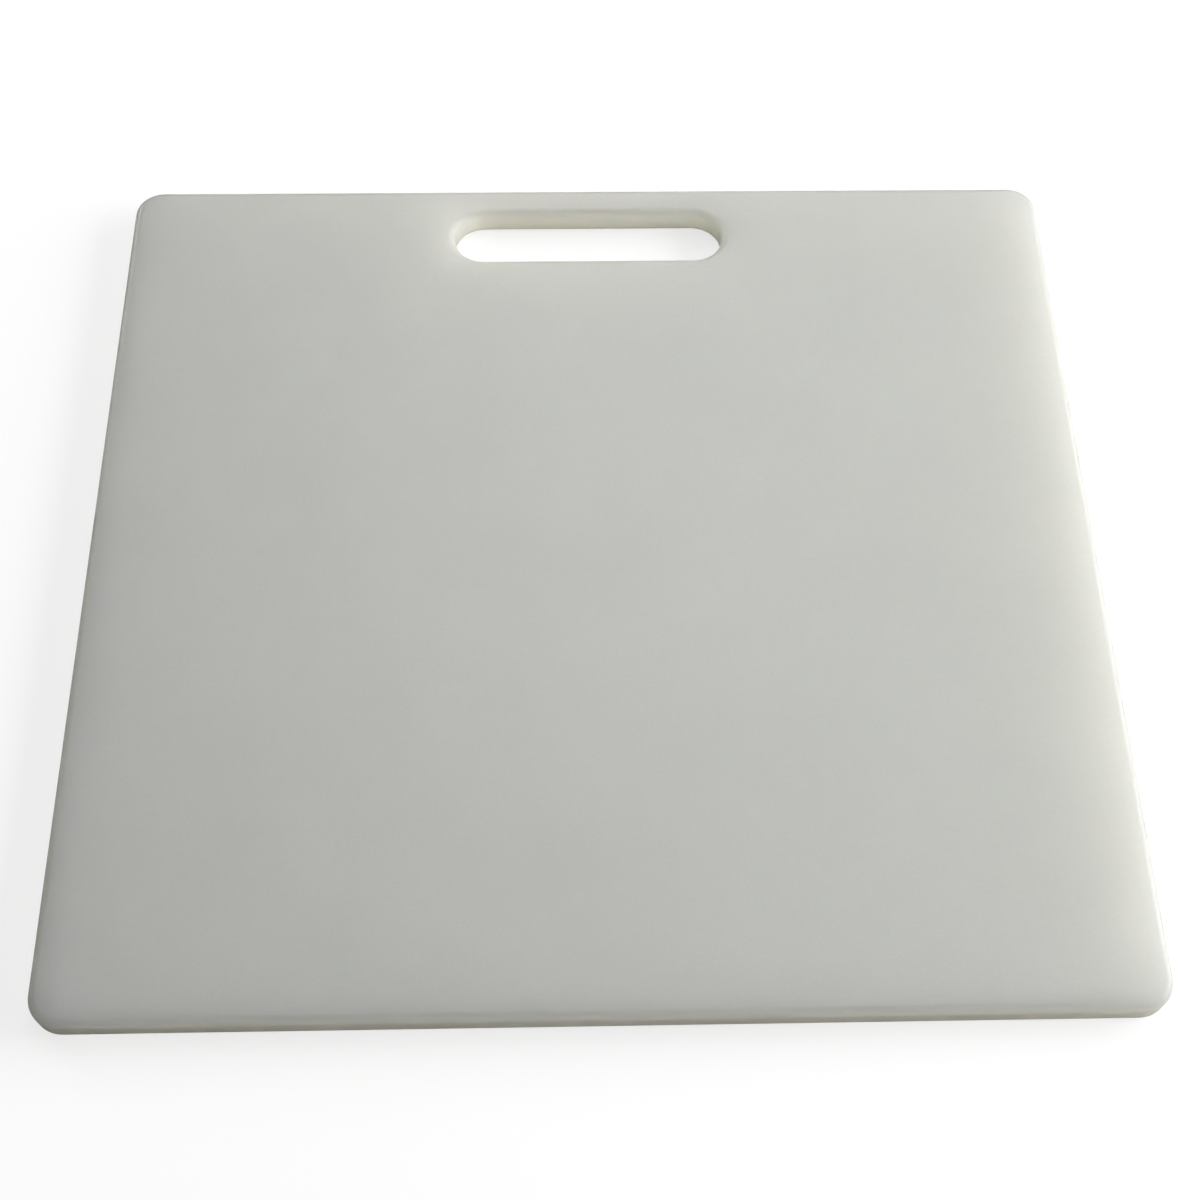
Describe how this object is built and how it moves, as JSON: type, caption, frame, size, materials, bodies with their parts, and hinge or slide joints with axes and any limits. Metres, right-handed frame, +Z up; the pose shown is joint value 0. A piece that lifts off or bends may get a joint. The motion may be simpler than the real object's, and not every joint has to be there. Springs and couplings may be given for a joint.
{
  "type": "cutting board",
  "caption": "Nearly square white plastic cutting board with rounded corners and edges and a through hand slot along the far edge, reversible, lies flat or hangs by the slot.",
  "frame": {"origin": "middle of the underside, where the board rests", "axes": "+X along the width, the longest side; +Y from the near edge towards the edge with the hand slot; +Z up through the thickness, out of the top face"},
  "size_m": [0.4064, 0.381, 0.0127],
  "materials": {
    "polyethylene": "satin, finely pebbled faces and smooth routed edges, slightly translucent"
  },
  "bodies": {
    "root": {"board": "polyethylene"}
  },
  "joints": []
}
